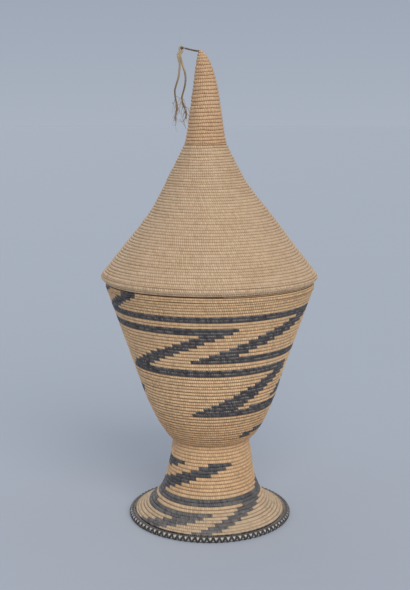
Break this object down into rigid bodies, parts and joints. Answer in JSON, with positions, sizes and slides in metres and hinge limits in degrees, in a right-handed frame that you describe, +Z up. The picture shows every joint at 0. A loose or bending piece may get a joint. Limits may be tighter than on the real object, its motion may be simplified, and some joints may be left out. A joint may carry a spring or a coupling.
{
  "type": "lidded coiled basket",
  "caption": "Coiled and sewn basket on a flared pedestal foot, with a conical spired lid that lifts off and a small tassel at its tip.",
  "frame": {"origin": "centre of the foot's flat base", "axes": "+Z up along the basket's axis, +X to the right and +Y to the back, seen with the tassel on the left"},
  "size_m": [0.1386, 0.1386, 0.3036],
  "materials": {
    "bowl_straw": "matte sewn straw",
    "lid_straw": "matte sewn straw",
    "foot_straw": "matte sewn straw",
    "dark_strip": "matte dyed strip",
    "edge_lashing": "cream strips of the bound edge",
    "stem_fibre": "dry twisted fibre",
    "string": "twisted string"
  },
  "bodies": {
    "basket": {"foot_skirt": "foot_straw", "foot_bound_edge": "dark_strip", "foot_lashing": "foot_straw", "bowl_floor": "bowl_straw", "bowl_wall": "bowl_straw", "bowl_rim_coil": "bowl_straw", "bowl_collar": "bowl_straw"},
    "lid": {"lid_lip": "lid_straw", "lid_cone": "lid_straw", "lid_spire": "lid_straw", "starting_bundle": "stem_fibre", "tassel_knot": "string", "tassel_strand_left": "string", "tassel_strand_right": "string"}
  },
  "joints": [
    {"name": "lid_lift", "type": "slide", "parent": "basket", "child": "lid", "axis": [0, 0, 1], "range_m": [0, 0.12]}
  ]
}
